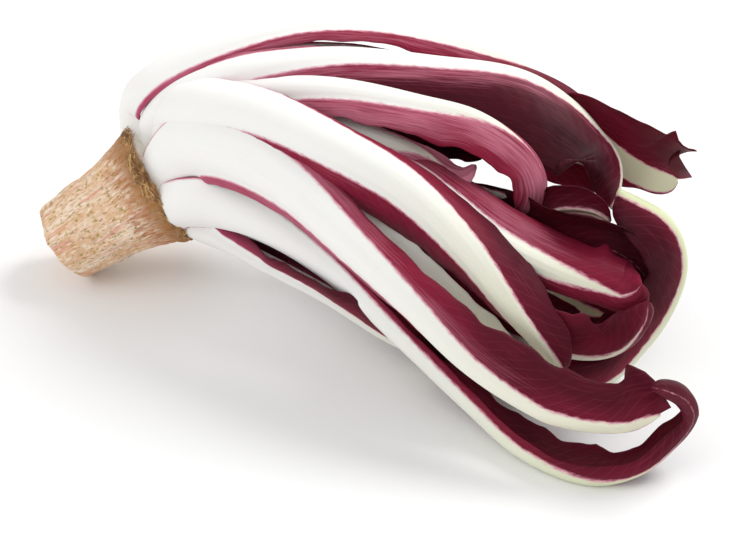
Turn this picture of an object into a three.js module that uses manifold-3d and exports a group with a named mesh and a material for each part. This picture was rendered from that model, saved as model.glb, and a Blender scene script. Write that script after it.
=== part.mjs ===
// A head of late red radicchio (radicchio di Treviso tardivo), lying on its side.
// Millimetres, +Z up.  +X runs from the trimmed root to the leaf tips, and the floor is z = 0.
// The head arches: it rests on the lower rim of the root and on the bellies of its lowest leaves.

import * as THREE from "three";
import { mergeVertices } from "three/addons/utils/BufferGeometryUtils.js";
import Module from "manifold-3d";

// ---------------------------------------------------------------- driving dimensions

const GAP = 0.3; // clearance kept between neighbouring pieces
const TIDY_WITHIN = 0.08; // cut pieces lose slivers smaller than this
const BLADE_THICKNESS = 0.9; // a leaf blade, thicker than life so that it stays a sound solid
const HEAD_SHIFT = [9.4, -24.8]; // sets the origin under the middle of the whole head

const ROOT_END = [-122, -15, 13]; // centre of the cut end
const ROOT_COLLAR = [-95, 6, 34]; // centre of the collar, where the leaves spring
const ROOT_SIDES = 24;
// Root outline: distance along the root from its collar, and radius.
const ROOT_PROFILE = [
  [-41.5, 8], [-41, 14], [-39.5, 15.4], [-34, 16.4], [-27, 17.1], [-20, 17.6], [-14, 18.4],
  [-8, 20], [-4, 21.6], [-1, 23], [1, 22.6], [3, 20.5], [7, 14], [14, 9], [22, 5],
];
const ROOT_RIDGES = [[3, 0.035, 0.6], [7, 0.02, 2.1]]; // count, height as a share, phase
const COLLAR_LEAN = 3.5; // how far the collar comes forward on its front side
const COLLAR_FRONT = -0.98; // radians round the root from its top to that side

const RIB_SIDES = 8;
const LEAF_STEPS = 16; // stations along a leaf that shows
const HIDDEN_STEPS = 10; // and along one inside or under the head
const BLADE_COLUMNS = 2;
const BLADE_STARTS_AT = 0.06; // share of the length where the blade's red margin starts
const HIDDEN_BLADE_STARTS_AT = 0.3;
const RIB_ENDS_AT = 0.9; // share of the leaf's length where the rib runs out into the blade

// The line that the leaves lie round, from the root's cut end to the heart's tip.
const HEAD_AXIS = [
  [-122, -15, 12.5], [-95, 6, 34], [-82, 15, 46], [-58, 20, 56], [-28, 18, 58],
  [0, 19, 56], [34, 19, 50], [75, 14, 42], [110, 8, 38],
];

// One row for each leaf.  route: points along the middle of the rib, from the collar to the tip.
// rib: half width of the rib at its foot.  left, right: the blade on the rib's two sides, seen
// from outside the head with the tip pointing away: its reach near the foot and near the tip,
// and the angles in degrees at which it leaves the rib and ends at its edge.  taper: share of
// its width that the rib loses towards the tip.  opens: shares of the length where the blade
// starts and stops widening.  blunt: share where it starts to round off.  sweep: how far the
// left and the right edge run ahead of the rib at the tip.  curl: share of the length after which
// the tip rolls by its own bend.  twist: degrees that the leaf leans to its right, foot and tip.
const LEAVES = [
  { name: "front", rib: 11.5, left: [1.5, 14, 45, 82], right: [4, 1.5, 5, 30], sweep: [4, 0],
    taper: 0.85, blunt: 0.985, curl: 0.8, route: [
    [-85.5, -1.5, 38], [-82, -2, 50], [-75, -2.5, 60], [-64, -5, 66], [-46, -9, 69],
    [-24, -13, 66], [0, -20, 58], [24, -25, 47], [48, -28, 33], [70, -27, 23],
    [80.5, -25, 20.5], [90, -21.5, 19.5], [99, -17.5, 20.5], [107, -11.5, 24.5]] },
  { name: "front_low", rib: 10, left: [1.5, 3.4, 50, 90], right: [4, 12.5, 40, 125], taper: 0.88,
    blunt: 0.6, curl: 0.7, twist: [-38, 8], route: [
    [-85, -4, 31], [-75, -7, 40], [-60, -5, 43], [-38, -4, 40], [-13, -4, 30], [15, -11, 20],
    [44, -19, 10], [68, -26, 4], [90, -26, 2.2], [104, -18, 5], [112, -8, 13], [115, -4, 21],
    [113, -7, 29.5], [108.5, -13.5, 36], [105.5, -17.5, 39]] },
  { name: "front_top", rib: 10.5, left: [1, 13, 60, 95], right: [1.5, 14, 20, 60], curl: 1,
    route: [
    [-89, 3.5, 42], [-90.5, 6.5, 54], [-87.5, 7, 65], [-78, 4.5, 73], [-65, 2, 79],
    [-42, -1, 83], [-12, -5, 81], [14, -7, 75], [37, -10, 62], [56, -12, 44], [72, -8, 24]] },
  { name: "top_back", rib: 9.5, left: [1, 4, 60, 100], right: [2.2, 6, 20, 70], curl: 1,
    twist: [25, 30], route: [
    [-104, 8, 46], [-109, 14, 58], [-103, 15, 69], [-92, 22, 78], [-73, 32, 87],
    [-54, 43, 92], [-33, 52, 93], [-12, 60, 90], [8, 69, 84], [28, 76, 77], [40, 78, 70]] },
  { name: "top", rib: 8, left: [3.2, 1.2, -5, 25], right: [3, 30, 40, 88], curl: 1,
    twist: [15, 15], route: [
    [-97, 6, 46], [-96, 8, 60], [-86, 10, 71], [-71, 14, 81], [-55, 19, 88], [-31, 31, 92],
    [-5, 45, 90], [20, 57, 87], [38, 62, 79], [51, 63, 69], [58, 60.5, 63], [61.5, 55, 57.5],
    [62.5, 47, 52.5]] },
  { name: "top_front", rib: 8, left: [1, 4, 50, 90], right: [1.3, 11, 15, 60], blunt: 0.93,
    curl: 0.8, twist: [10, 10], route: [
    [-90, 4, 46], [-84, 4, 64], [-66, 9, 78], [-46, 14, 84], [-23, 18, 88], [2, 24, 87],
    [21, 28, 85], [37, 31, 77], [45, 30, 67], [45, 28, 54]] },
  { name: "far_top", rib: 8, left: [1, 1.5, 10, 40], right: [2, 24, 5, 35], opens: [0.6, 0.95],
    sweep: [0, 5], taper: 0.5, blunt: 0.96, curl: 0.8, twist: [0, -13], route: [
    [-96, 14, 40], [-90, 28, 58], [-70, 42, 74], [-41, 53.5, 79], [-2, 61.5, 75],
    [31.5, 69.5, 66.5], [42.5, 71.5, 62], [50.5, 72.5, 57], [57.5, 73.5, 53],
    [64, 74.5, 50.5], [69, 76.5, 49], [73.5, 78.5, 50]] },
  { name: "middle", rib: 8, left: [1.4, 12.5, 25, 75], right: [1, 5, 20, 60], blunt: 0.955,
    curl: 0.7, route: [
    [-80, 8, 48], [-30, 12, 66], [2, 10, 68], [20, 6, 66], [42, 3, 59], [61, 5, 53],
    [77, 9, 48.5], [82.5, 10, 47.5], [86.5, 11, 49.5], [88.5, 11.5, 53]] },
  { name: "middle_low", rib: 6, left: [2.4, 17, 22, 62], right: [1, 5, 20, 60],
    opens: [0.2, 0.68], blunt: 0.6, curl: 0.7, route: [
    [-78, 8, 40], [-40, 6, 50], [-10, 4, 45], [20, 0, 36], [36.5, -1, 31.5], [50.5, -1.5, 28],
    [62.5, 0, 26], [72.5, 2, 25], [80, 4.5, 26], [85.5, 6.5, 29.5], [89.5, 7.5, 35.5],
    [92, 8.5, 42.5], [92.5, 7.5, 50]] },
  { name: "hook", rib: 8, left: [2.5, 15, 50, 95], right: [1.7, 14, 50, 95], taper: 0.6,
    blunt: 0.93, curl: 0.5, twist: [0, -12], route: [
    [-84, 12, 24], [-60, 14, 20], [-20, 14, 12], [20, 14, 6], [55, 14, 3], [74, 20, 4],
    [84, 32, 16], [91, 36, 34], [92.5, 37, 50], [86.5, 35, 64], [69, 35, 69]] },
  { name: "bottom", rib: 9, left: [9, 12, 25, 60], right: [1.2, 10, 20, 60], curl: 1, route: [
    [-84, 1, 28], [-75, 1, 26], [-61, 2, 24], [-41, 1, 21], [-18, -1, 18], [11, -3, 11],
    [40, 4, 5], [65, 10, 4]] },
  { name: "back_low", rib: 9, left: [1.1, 9, 20, 60], right: [1.7, 14, 20, 60], curl: 0.8,
    hidden: true, route: [
    [-92, 20, 32], [-88, 32, 36], [-70, 42, 40], [-42, 48, 36], [-15, 50, 24], [8, 52, 11],
    [28, 54, 4], [46, 55, 2.2], [66, 52, 5], [80, 47, 12]] },
  { name: "back_middle", rib: 8, left: [1, 8, 20, 60], right: [1.2, 10, 20, 60], curl: 1,
    hidden: true, route: [
    [-95, 22, 40], [-98, 30, 52], [-84, 42, 62], [-60, 52, 66], [-32, 60, 64], [-5, 66, 58],
    [20, 71, 53], [40, 73, 50], [50, 70, 50], [57, 62, 50.5]] },
  { name: "under", rib: 7, left: [1, 8, 20, 60], right: [1, 8, 20, 60], curl: 1, hidden: true,
    route: [
    [-88, 14, 22], [-78, 26, 22], [-55, 30, 22], [-25, 31, 18], [5, 32, 13], [35, 34, 9],
    [62, 36, 9]] },
  { name: "inner_front", rib: 5, left: [1, 6, 20, 60], right: [1, 6, 20, 60], curl: 1,
    hidden: true, route: [
    [-80, 6, 50], [-40, -4, 66], [-12, -6, 64], [8, -9, 55], [28, -11, 42], [45, -9, 32],
    [60, -6, 24]] },
  { name: "inner_top", rib: 7, left: [1, 6, 20, 60], right: [1, 5, 20, 60], taper: 0.65, curl: 1,
    hidden: true, route: [
    [-88, 6, 46], [-78, 6, 64], [-56, 11, 71], [-34, 14, 76], [-12, 14, 76],
    [5.5, 18.5, 71.5], [15.5, 18, 69], [21, 18.5, 69], [25, 20.5, 72]] },
  { name: "inner_back", rib: 6, left: [12, 15, 0, 40], right: [1.4, 12, 20, 60], curl: 1,
    hidden: true, route: [
    [-85, 14, 48], [-60, 30, 66], [-30, 40, 71], [-5, 45, 69], [15, 48, 66], [19, 48, 64.5]] },
  { name: "inner_low", rib: 6, left: [1, 6, 20, 60], right: [1, 6, 20, 60], curl: 1,
    hidden: true, route: [
    [-80, 12, 36], [-50, 16, 33], [-10, 18, 29], [30, 17, 24], [60, 18, 22]] },
  { name: "heart_top", rib: 2.2, left: [1.5, 11, 70, 110], right: [1.2, 9, -85, -30],
    opens: [0.74, 0.88], taper: 0.5, curl: 1, hidden: true, route: [
    [-78, 12, 50], [-30, 22, 60], [20, 28, 58], [38, 27.5, 58], [47.5, 28, 56.5],
    [52.5, 29.5, 58.5], [57.5, 31.5, 59], [63, 33, 58.5], [68, 33, 57]] },
  { name: "heart_right", rib: 5, left: [1.6, 10, 20, 60], right: [1.6, 16, 0, 40], curl: 1,
    hidden: true, route: [
    [-78, 12, 46], [-30, 20, 50], [20, 19, 47], [48, 21, 48], [66, 25, 52], [72.5, 28.5, 50],
    [78.5, 29.5, 47], [84.5, 30, 41.5]] },
  { name: "heart_low", rib: 5, left: [1.3, 11, 20, 70], right: [1.3, 11, 20, 70], curl: 0.6,
    hidden: true, route: [
    [-78, 14, 44], [-30, 26, 50], [15, 32, 46], [40, 34, 46], [54, 32, 48.5], [58, 26.5, 52]] },
];

const MATERIALS = {
  root: new THREE.MeshStandardMaterial({ color: 0xc9a27a, roughness: 0.9, metalness: 0 }),
  rib: new THREE.MeshStandardMaterial({ color: 0xf1f0df, roughness: 0.35, metalness: 0 }),
  blade: new THREE.MeshStandardMaterial({ color: 0x6b1d33, roughness: 0.4, metalness: 0 }),
};

// ---------------------------------------------------------------- small helpers

const wasm = await Module();
wasm.setup();

const point = ([x, y, z]) => new THREE.Vector3(x, y, z);

function smoothStep(low, high, value) {
  return THREE.MathUtils.smoothstep(value, low, high);
}

// Walks a smooth curve through the route in even steps.
function walk(route, steps) {
  const curve = new THREE.CatmullRomCurve3(route.map(point), false, "catmullrom", 0.5);
  curve.arcLengthDivisions = 400;
  return curve.getSpacedPoints(steps);
}

const axisPoints = walk(HEAD_AXIS, 200);

function nearestOnAxis(place) {
  let best = axisPoints[0];
  for (const candidate of axisPoints) {
    if (candidate.distanceToSquared(place) < best.distanceToSquared(place)) best = candidate;
  }
  return best;
}

// A closed solid from vertices and triangles.
function solid(vertices, triangles) {
  const mesh = new wasm.Mesh({
    numProp: 3,
    vertProperties: new Float32Array(vertices.flatMap((v) => [v.x, v.y, v.z])),
    triVerts: new Uint32Array(triangles.flat()),
  });
  return new wasm.Manifold(mesh);
}

// Skins a row of rings of equal size, with both ends closed by a fan.
function loft(rings) {
  const sides = rings[0].length;
  const vertices = rings.flat();
  const triangles = [];
  for (let i = 0; i + 1 < rings.length; i += 1) {
    for (let k = 0; k < sides; k += 1) {
      const a = i * sides + k;
      const b = i * sides + ((k + 1) % sides);
      triangles.push([a, b + sides, b], [a, a + sides, b + sides]);
    }
  }
  for (const end of [0, rings.length - 1]) {
    const middle = new THREE.Vector3();
    for (const v of rings[end]) middle.addScaledVector(v, 1 / sides);
    vertices.push(middle);
    const hub = vertices.length - 1;
    for (let k = 0; k < sides; k += 1) {
      const a = end * sides + k;
      const b = end * sides + ((k + 1) % sides);
      triangles.push(end === 0 ? [hub, a, b] : [hub, b, a]);
    }
  }
  return solid(vertices, triangles);
}

// ---------------------------------------------------------------- a leaf's own frame

// Station by station: the rib's middle, the way along, the way out from the head and sideways.
function leafFrames(leaf) {
  const steps = leaf.hidden ? HIDDEN_STEPS : LEAF_STEPS;
  const places = walk(leaf.route, steps);
  const frames = [];
  for (let i = 0; i <= steps; i += 1) {
    const share = i / steps;
    const before = places[Math.max(i - 1, 0)];
    const after = places[Math.min(i + 1, steps)];
    const along = after.clone().sub(before).normalize();
    let out = places[i].clone().sub(nearestOnAxis(places[i]));
    if (share > leaf.curl) out = frames[i - 1].out.clone();
    out.addScaledVector(along, -out.dot(along)).normalize();
    frames.push({ share, place: places[i], along, out });
  }
  for (let pass = 0; pass < 3; pass += 1) {
    const outs = frames.map((f) => f.out.clone());
    for (let i = 1; i < steps; i += 1) {
      const f = frames[i];
      f.out = outs[i - 1].clone().add(outs[i + 1]).addScaledVector(outs[i], 2);
      f.out.addScaledVector(f.along, -f.out.dot(f.along)).normalize();
    }
  }
  for (const f of frames) {
    const lean = THREE.MathUtils.lerp(...(leaf.twist ?? [0, 0]), f.share);
    f.out.applyAxisAngle(f.along, THREE.MathUtils.degToRad(lean));
    f.side = f.along.clone().cross(f.out);
  }
  return frames;
}

const at = (f, side, out, along = 0) =>
  f.place.clone().addScaledVector(f.side, side).addScaledVector(f.out, out)
    .addScaledVector(f.along, along);

// ---------------------------------------------------------------- rib and blade

function ribHalfWidth(leaf, share) {
  const footWidth = leaf.rib * (0.8 + 0.2 * smoothStep(0, 0.12, share));
  return footWidth * (1 - (leaf.taper ?? 0.8) * share ** 0.9);
}

// The fleshy rib: rounded outside, flatter inside, thinning towards the tip.
function makeRib(leaf, frames, grow) {
  const last = Math.round(RIB_ENDS_AT * (frames.length - 1));
  const rings = [];
  for (let i = 0; i <= last; i += 1) {
    const half = ribHalfWidth(leaf, frames[i].share);
    const outer = 0.45 * half + 0.7 + grow;
    const inner = 0.22 * half + 0.5 + grow;
    const slide = i === 0 ? -grow : i === last ? grow - GAP : 0;
    const ring = [];
    for (let k = 0; k < RIB_SIDES; k += 1) {
      const angle = (2 * Math.PI * k) / RIB_SIDES;
      const height = Math.sin(angle) > 0 ? outer : inner;
      ring.push(at(frames[i], (half + grow) * Math.cos(angle), height * Math.sin(angle), slide));
    }
    rings.push(ring);
  }
  return loft(rings);
}

function bladeReach(leaf, atFoot, atTip, share) {
  const [opensFrom, opensTo] = leaf.opens ?? [0.08, 0.85];
  const reach = THREE.MathUtils.lerp(atFoot, atTip, smoothStep(opensFrom, opensTo, share));
  const tipStart = leaf.blunt ?? 0.84;
  const intoTip = Math.max(0, (share - tipStart) / (1 - tipStart));
  return Math.max(reach * Math.sqrt(1 - Math.min(1, intoTip) ** 2), 0.8);
}

// The thin blade: one sheet down both sides of the rib, joined round the rib's tip.
function makeBlade(leaf, frames, grow) {
  const thickness = BLADE_THICKNESS + 2 * grow;
  const steps = frames.length - 1;
  const first = Math.round((leaf.hidden ? HIDDEN_BLADE_STARTS_AT : BLADE_STARTS_AT) * steps);
  const bridge = Math.round(RIB_ENDS_AT * steps);
  const columns = 2 * (BLADE_COLUMNS + 1);
  const grid = [];
  for (let i = 0; i <= steps; i += 1) {
    const f = frames[i];
    const start = ribHalfWidth(leaf, f.share) + GAP - grow;
    const slide = i <= first ? -grow : i === steps ? grow : 0;
    const row = [];
    for (let j = 0; j < columns; j += 1) {
      const side = j <= BLADE_COLUMNS ? -1 : 1;
      const step = side < 0 ? BLADE_COLUMNS - j : j - BLADE_COLUMNS - 1;
      const [atFoot, atTip, ...folds] = side < 0 ? leaf.left : leaf.right;
      const [foldIn, foldOut] = folds.map(THREE.MathUtils.degToRad);
      const bend = foldOut - foldIn;
      const reach = bladeReach(leaf, atFoot, atTip, f.share) + 2 * grow;
      const share = step / BLADE_COLUMNS;
      const wave = 0.07 * reach * share ** 2 * Math.sin(23 * f.share + side);
      const turn = foldIn + bend * share;
      const across = start + (reach / bend) * (Math.sin(turn) - Math.sin(foldIn));
      const drop = (reach / bend) * (Math.cos(turn) - Math.cos(foldIn)) + wave;
      const facing = [side * Math.sin(turn), Math.cos(turn)];
      const sweep = (leaf.sweep ?? [0, 0])[side < 0 ? 0 : 1];
      const forward = sweep * share ** 2 * smoothStep(0.75, 1, f.share);
      const faces = [1, -1].map((face) => at(
        f,
        side * across + (face * facing[0] * thickness) / 2,
        drop + (face * facing[1] * thickness) / 2,
        slide + forward,
      ));
      row.push(faces);
    }
    grid.push(row);
  }
  const used = (i, j) =>
    i >= first && i < steps && j >= 0 && j < columns - 1 && (j !== BLADE_COLUMNS || i >= bridge);
  const vertices = grid.flat(2);
  const id = (i, j, face) => (i * columns + j) * 2 + face;
  const triangles = [];
  const wall = (a, b) => {
    const [topA, topB] = [id(...a, 0), id(...b, 0)];
    const [lowA, lowB] = [id(...a, 1), id(...b, 1)];
    triangles.push([topA, topB, lowB], [topA, lowB, lowA]);
  };
  for (let i = first; i < steps; i += 1) {
    for (let j = 0; j < columns - 1; j += 1) {
      if (!used(i, j)) continue;
      const corners = [[i, j], [i + 1, j], [i + 1, j + 1], [i, j + 1]];
      const [a, b, c, d] = corners.map(([p, q]) => id(p, q, 0));
      triangles.push([a, c, b], [a, d, c]);
      const [e, g, h, k] = corners.map(([p, q]) => id(p, q, 1));
      triangles.push([e, g, h], [e, h, k]);
      if (!used(i, j - 1)) wall(corners[0], corners[1]);
      if (!used(i + 1, j)) wall(corners[1], corners[2]);
      if (!used(i, j + 1)) wall(corners[2], corners[3]);
      if (!used(i - 1, j)) wall(corners[3], corners[0]);
    }
  }
  return solid(vertices, triangles);
}

// ---------------------------------------------------------------- root

// The trimmed tap root with the crown that carries the leaves: one piece, ridged lengthwise.
function makeRoot(grow) {
  const end = point(ROOT_END);
  const collar = point(ROOT_COLLAR);
  const along = collar.clone().sub(end).normalize();
  const sideways = along.clone().cross(new THREE.Vector3(0, 0, 1)).normalize();
  const upward = sideways.clone().cross(along);
  const rings = ROOT_PROFILE.map(([distance, radius], i) => {
    const stretch = i === 0 ? -grow : i === ROOT_PROFILE.length - 1 ? grow : 0;
    const ring = [];
    for (let k = 0; k < ROOT_SIDES; k += 1) {
      const angle = (2 * Math.PI * k) / ROOT_SIDES;
      let relief = 1;
      for (const [count, height, phase] of ROOT_RIDGES) {
        relief += height * Math.sin(count * angle + phase + distance * 0.05);
      }
      const lean = COLLAR_LEAN * smoothStep(-12, -1, distance)
        * (0.5 + 0.5 * Math.cos(angle - COLLAR_FRONT));
      ring.push(collar.clone().addScaledVector(along, distance + stretch + lean)
        .addScaledVector(upward, (radius * relief + grow) * Math.cos(angle))
        .addScaledVector(sideways, -(radius * relief + grow) * Math.sin(angle)));
    }
    return ring;
  });
  return loft(rings);
}

// ---------------------------------------------------------------- fitting the pieces together

const clearances = []; // each placed piece, grown by the gap
const head = new THREE.Group();

function boxesMeet(a, b) {
  return [0, 1, 2].every((k) => a.min[k] < b.max[k] && b.min[k] < a.max[k]);
}

// The floor, as a slab that flattens whatever presses on it.
function makeFloor() {
  const slab = new THREE.BoxGeometry(400, 300, 40);
  slab.translate(0, 0, -20);
  slab.deleteAttribute("normal");
  slab.deleteAttribute("uv");
  const merged = mergeVertices(slab);
  const mesh = new wasm.Mesh({
    numProp: 3,
    vertProperties: merged.attributes.position.array,
    triVerts: new Uint32Array(merged.index.array),
  });
  return new wasm.Manifold(mesh);
}

// Cuts a piece clear of the pieces already in place, keeps its largest body and names it.
function place(name, piece, grown, material) {
  let kept = piece;
  const bounds = piece.boundingBox();
  for (const other of clearances) {
    if (boxesMeet(bounds, other.bounds)) kept = kept.subtract(other.body);
  }
  const bodies = kept.simplify(TIDY_WITHIN).decompose().sort((a, b) => b.volume() - a.volume());
  clearances.push({ body: grown, bounds: grown.boundingBox() });
  const { vertProperties, triVerts } = bodies[0].getMesh();
  const geometry = new THREE.BufferGeometry();
  geometry.setAttribute("position", new THREE.BufferAttribute(vertProperties, 3));
  geometry.setIndex(new THREE.BufferAttribute(triVerts, 1));
  const mesh = new THREE.Mesh(geometry, material);
  mesh.name = name;
  head.add(mesh);
}

const floor = makeFloor();
clearances.push({ body: floor, bounds: floor.boundingBox() });
place("root_stub", makeRoot(0), makeRoot(GAP), MATERIALS.root);
const framesOf = LEAVES.map(leafFrames);
LEAVES.forEach((leaf, i) => {
  place(`leaf_${leaf.name}_rib`, makeRib(leaf, framesOf[i], 0), makeRib(leaf, framesOf[i], GAP),
    MATERIALS.rib);
});
LEAVES.forEach((leaf, i) => {
  place(`leaf_${leaf.name}_blade`, makeBlade(leaf, framesOf[i], 0),
    makeBlade(leaf, framesOf[i], GAP), MATERIALS.blade);
});

head.position.set(...HEAD_SHIFT, 0);
export default head;
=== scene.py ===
# A head of late red radicchio (radicchio di Treviso tardivo), lying on its side.
# Metres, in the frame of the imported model: +X from root to tips, +Z up, floor at z = 0.

import math

import bpy
import numpy as np
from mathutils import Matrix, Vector


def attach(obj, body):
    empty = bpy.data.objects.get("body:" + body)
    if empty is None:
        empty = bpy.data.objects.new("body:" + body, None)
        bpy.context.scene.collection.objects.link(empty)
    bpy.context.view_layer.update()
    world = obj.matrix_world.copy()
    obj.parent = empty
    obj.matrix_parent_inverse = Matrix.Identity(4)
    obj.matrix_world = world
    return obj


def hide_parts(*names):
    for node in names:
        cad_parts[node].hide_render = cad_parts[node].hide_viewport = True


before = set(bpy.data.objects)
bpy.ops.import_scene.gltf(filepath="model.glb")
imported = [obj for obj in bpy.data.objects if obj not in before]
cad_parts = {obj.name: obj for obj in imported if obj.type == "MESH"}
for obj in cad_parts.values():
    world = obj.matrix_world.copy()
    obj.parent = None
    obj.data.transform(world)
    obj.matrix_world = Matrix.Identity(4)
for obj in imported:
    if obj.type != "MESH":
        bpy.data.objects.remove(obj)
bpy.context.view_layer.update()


# ------------------------------------------------------------------ root stub
# The trimmed tap root, pared with a knife to a short cone that flares into the crown.
# Dry pale flesh, streaked and pitted lengthwise, with a torn brown rim where the outer
# leaves have been pulled away.  It carries every leaf.

MM = 0.001
HEAD_SHIFT = np.array([9.4, -24.8, 0.0])  # mm, sets the origin under the middle of the head
ROOT_END = np.array([-122, -15, 13]) + HEAD_SHIFT
ROOT_COLLAR = np.array([-95, 6, 34]) + HEAD_SHIFT
# Distance along the root from its collar, and radius, in mm.
ROOT_PROFILE = np.array([
    (-41.5, 4), (-41.4, 9), (-41.1, 13.6), (-40.3, 15), (-38.5, 15.7), (-34, 16.4), (-27, 17.1),
    (-20, 17.6), (-14, 18.4), (-8, 20), (-4, 21.6), (-1.4, 22.9), (0, 23.1), (1.2, 22.4),
    (3, 20.2), (7, 14), (14, 9), (22, 5),
])
ROOT_RIDGES = [(3, 0.035, 0.6), (7, 0.02, 2.1)]  # count, height as a share, phase
RIDGE_TWIST = 0.05  # radians to the mm
COLLAR_LEAN, COLLAR_FRONT = 3.5, -0.98  # mm forward at most, and radians round the root
KNIFE_FLATS = 6  # long facets that the paring left
KNIFE_SHARE = 0.55  # how far the round is cut towards those facets
KNIFE_TURN, KNIFE_TWIST = 0.35, 0.012  # radians, and radians to the mm
KNIFE_SWELL = 1.06  # the facets stand out by this, so that the root keeps its girth
SHAVINGS = [(0.4, 34, 9, 3), (0.3, 90, 26, 4)]  # mm high, cells round and along, seed
CUT_EDGES = 0.3  # mm, the crisp lines between two knife cuts
PIT_DEPTH, PIT_LEVEL = 1.1, 0.55  # mm, and the level of the grain above which a pit starts
RIM_WIDTH, RIM_MIDDLE = 1.6, 0.3  # mm along the root
RIM_TEAR, RIM_FLARE = 2.2, 0.5  # mm that the rim is ragged along the root and outwards
TEARS = [(0.6, 70, 6), (0.5, 150, 7)]  # share, count round the rim, seed
ROOT_ALONG, ROOT_AROUND = 170, 220  # points of the mesh each way
ROOT_GIRTH = 105  # mm, by which the pattern is laid round the root
ROOT_CLEARS_FLOOR = 0.05  # mm

root_axis = (ROOT_COLLAR - ROOT_END) / np.linalg.norm(ROOT_COLLAR - ROOT_END)
root_side = np.cross(root_axis, [0, 0, 1])
root_side /= np.linalg.norm(root_side)
root_up = np.cross(root_side, root_axis)


def smooth(low, high, value):
    """0 below low, 1 above high, with an even S between."""
    t = np.clip((value - low) / (high - low), 0, 1)
    return t * t * (3 - 2 * t)


def grain(x, y, cells_x, cells_y, seed, wrap_x=False):
    """Smooth random relief between -1 and 1 over x, y in 0..1, with that many cells."""
    knots = np.random.default_rng(seed).uniform(-1, 1, (cells_x + 2, cells_y + 2))
    if wrap_x:
        knots[cells_x] = knots[0]
        knots[cells_x + 1] = knots[1]
    x = np.clip(x, 0, 1) * cells_x
    y = np.clip(y, 0, 1) * cells_y
    i, j = x.astype(int), y.astype(int)
    s, t = smooth(0, 1, x - i), smooth(0, 1, y - j)
    near = knots[i, j] * (1 - s) + knots[i + 1, j] * s
    far = knots[i, j + 1] * (1 - s) + knots[i + 1, j + 1] * s
    return near * (1 - t) + far * t


def grid_mesh(name, rings):
    """Skins equal closed rings of points, given in mm, into one closed mesh in metres."""
    count, size = rings.shape[:2]
    points = (rings.reshape(-1, 3) * MM).tolist()
    i, k = np.meshgrid(np.arange(count - 1), np.arange(size), indexing="ij")
    after = (k + 1) % size
    quads = np.stack([i * size + k, (i + 1) * size + k, (i + 1) * size + after,
                      i * size + after], -1).reshape(-1, 4).tolist()
    last = (count - 1) * size
    for j in range(size // 2 - 1):
        quads.append([j, j + 1, size - 2 - j, size - 1 - j])
        quads.append([last + size - 1 - j, last + size - 2 - j, last + j + 1, last + j])
    mesh = bpy.data.meshes.new(name)
    mesh.from_pydata(points, [], quads)
    mesh.polygons.foreach_set("use_smooth", np.ones(len(quads), bool))
    mesh.update()
    return mesh


def set_points(mesh, name, values):
    """Writes one number for each point, which a material can read by name."""
    mesh.attributes.new(name, "FLOAT", "POINT").data.foreach_set(
        "value", np.ascontiguousarray(values, np.float32).ravel())


def set_uv(mesh, across, along):
    """Lays the mesh's own UV map, in metres of surface."""
    corners = np.zeros(len(mesh.loops), np.int32)
    mesh.loops.foreach_get("vertex_index", corners)
    uv = np.stack([across.ravel()[corners], along.ravel()[corners]], 1) * MM
    mesh.uv_layers.new(name="surface").data.foreach_set("uv", uv.astype(np.float32).ravel())


def add(mesh, name, body="root"):
    """Puts a finished mesh in the scene, riding on a body of the model."""
    piece = bpy.data.objects.new(name, mesh)
    bpy.context.scene.collection.objects.link(piece)
    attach(piece, body)
    return piece


def collar_lean(distance, angle):
    """How far forward the collar comes: most on its front side, nothing down the stub."""
    return COLLAR_LEAN * smooth(-12, -1, distance) * (0.5 + 0.5 * np.cos(angle - COLLAR_FRONT))


def root_rings():
    """Rings from the cut end to the crown, and each point's mm round and along the root."""
    run = np.concatenate([[0], np.cumsum(np.hypot(*np.diff(ROOT_PROFILE, axis=0).T))])
    s = np.linspace(0, run[-1], ROOT_ALONG)
    distance = np.interp(s, run, ROOT_PROFILE[:, 0])
    radius = np.interp(s, run, ROOT_PROFILE[:, 1])
    angle = np.linspace(0, 2 * math.pi, ROOT_AROUND, endpoint=False)
    cut_end, crown_end = ROOT_PROFILE[[0, -1], 0]
    along = (distance - cut_end) / (crown_end - cut_end)
    turn, along = np.meshgrid(angle / (2 * math.pi), along)
    distance, radius = distance[:, None], radius[:, None]

    relief = np.ones_like(turn)
    for count, height, phase in ROOT_RIDGES:
        relief += height * np.sin(count * angle + phase + distance * RIDGE_TWIST)
    facet = 2 * math.pi / KNIFE_FLATS
    within = (angle + KNIFE_TURN + KNIFE_TWIST * distance) % facet - facet / 2
    flat = math.cos(facet / 2) / np.cos(within) * KNIFE_SWELL
    relief *= 1 + KNIFE_SHARE * (flat - 1)

    shaved = sum(height * grain(turn, along, *cells, True) for height, *cells in SHAVINGS)
    shaved -= CUT_EDGES * np.abs(grain(turn, along, 26, 12, 8, True))
    pits = np.clip(grain(turn, along, 60, 70, 5, True) - PIT_LEVEL, 0, 1)
    below_rim = np.clip(-distance / 4, 0, 1)  # 0 at the rim, 1 from 4 mm down the stub
    radial = radius * relief + shaved - PIT_DEPTH * pits * below_rim

    rim = np.exp(-((distance - RIM_MIDDLE) / RIM_WIDTH) ** 2)
    tear = sum(part * grain(turn, along * 0, count, 1, seed, True)
               for part, count, seed in TEARS)
    shift = distance + rim * RIM_TEAR * (tear - 0.1) + collar_lean(distance, angle)
    radial += rim * RIM_FLARE * tear
    place = (ROOT_COLLAR + shift[..., None] * root_axis
             + (radial * np.cos(angle))[..., None] * root_up
             - (radial * np.sin(angle))[..., None] * root_side)
    place[..., 2] = np.maximum(place[..., 2], ROOT_CLEARS_FLOOR)
    return place, turn * ROOT_GIRTH, distance + 0 * turn


def feed(socket, value):
    """Gives a node's input a plain value, or a link from the socket that feeds it."""
    if isinstance(value, bpy.types.NodeSocket):
        socket.id_data.links.new(value, socket)
    else:
        socket.default_value = value


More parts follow.
